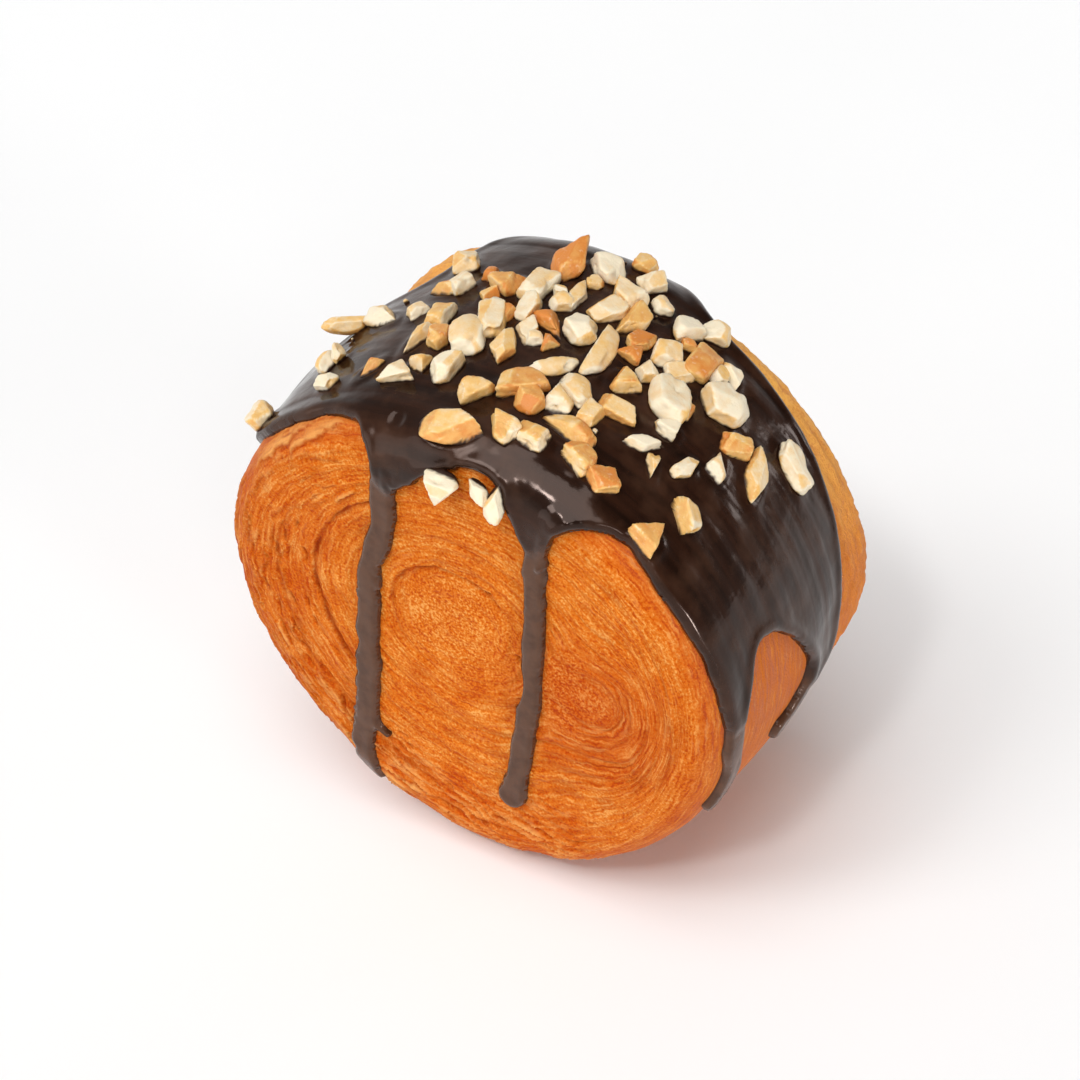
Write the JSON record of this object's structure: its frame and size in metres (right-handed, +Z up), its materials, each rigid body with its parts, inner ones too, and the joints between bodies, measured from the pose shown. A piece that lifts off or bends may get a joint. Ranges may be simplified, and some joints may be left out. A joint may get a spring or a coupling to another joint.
{
  "type": "cromboloni",
  "caption": "Rolled croissant wheel standing on its rim, with spiral layers on both faces, a chocolate coat and drips over its crown and chopped nuts on top.",
  "frame": {"origin": "middle of the small flat spot on the rim that the wheel rests on, at floor level", "axes": "+Z up, +Y along the wheel's axis from the front spiral face to the back one, +X to the right seen from the front"},
  "size_m": [0.1064, 0.0687, 0.1064],
  "materials": {
    "pastry": "baked golden crust, slightly buttery",
    "chocolate_coat": "glossy dark chocolate with cream and golden nuts"
  },
  "bodies": {
    "root": {"pastry": "pastry", "chocolate_coat": "chocolate_coat"}
  },
  "joints": []
}
